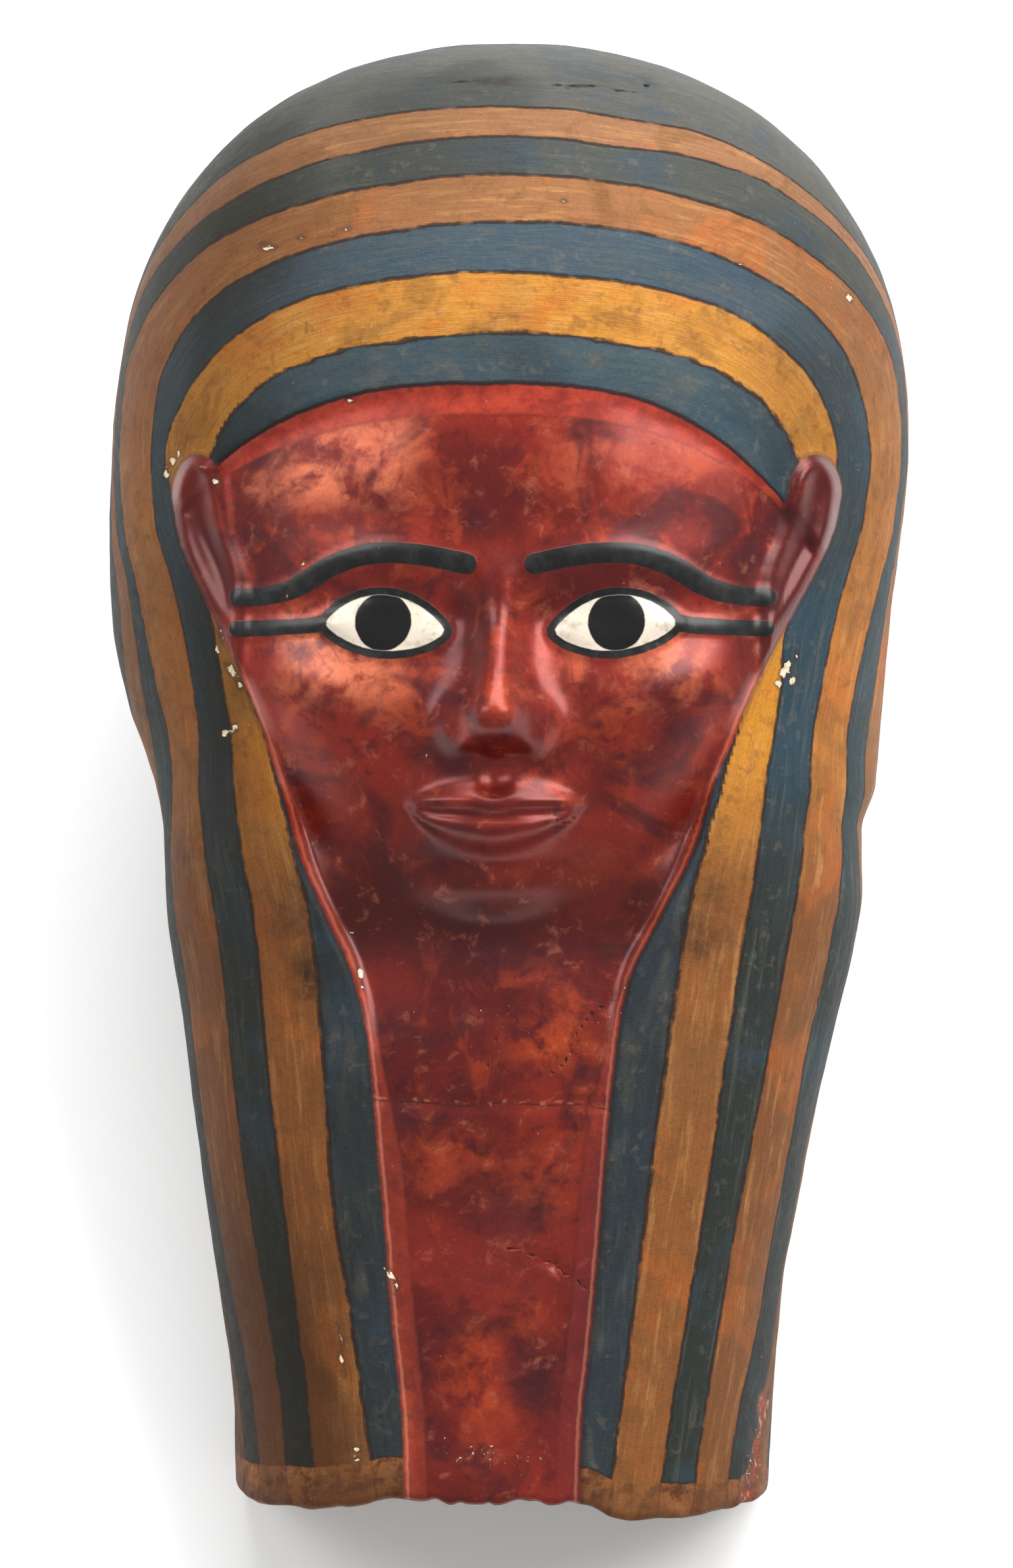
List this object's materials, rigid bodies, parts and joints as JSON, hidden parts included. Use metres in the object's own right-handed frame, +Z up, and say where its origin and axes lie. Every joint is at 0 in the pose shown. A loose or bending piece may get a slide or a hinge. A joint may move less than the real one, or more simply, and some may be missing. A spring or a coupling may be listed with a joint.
{
  "type": "egyptian mummy mask",
  "caption": "Moulded cartonnage funerary mask with a striped headdress, painted face, lappets and bib; hollow, open at back and hem, lying face up.",
  "frame": {"origin": "on the resting surface, under the middle of the laid mask's bounding box", "axes": "+Y towards the crown of the head, +Z up, the face turned up (and 24 degrees towards the hem), +X towards the right of a viewer who looks at the face"},
  "size_m": [0.2514, 0.4636, 0.2419],
  "materials": {
    "cartonnage": "painted linen and plaster, lacquered face, flaked and stained"
  },
  "bodies": {
    "root": {"mask_shell": "cartonnage"}
  },
  "joints": []
}
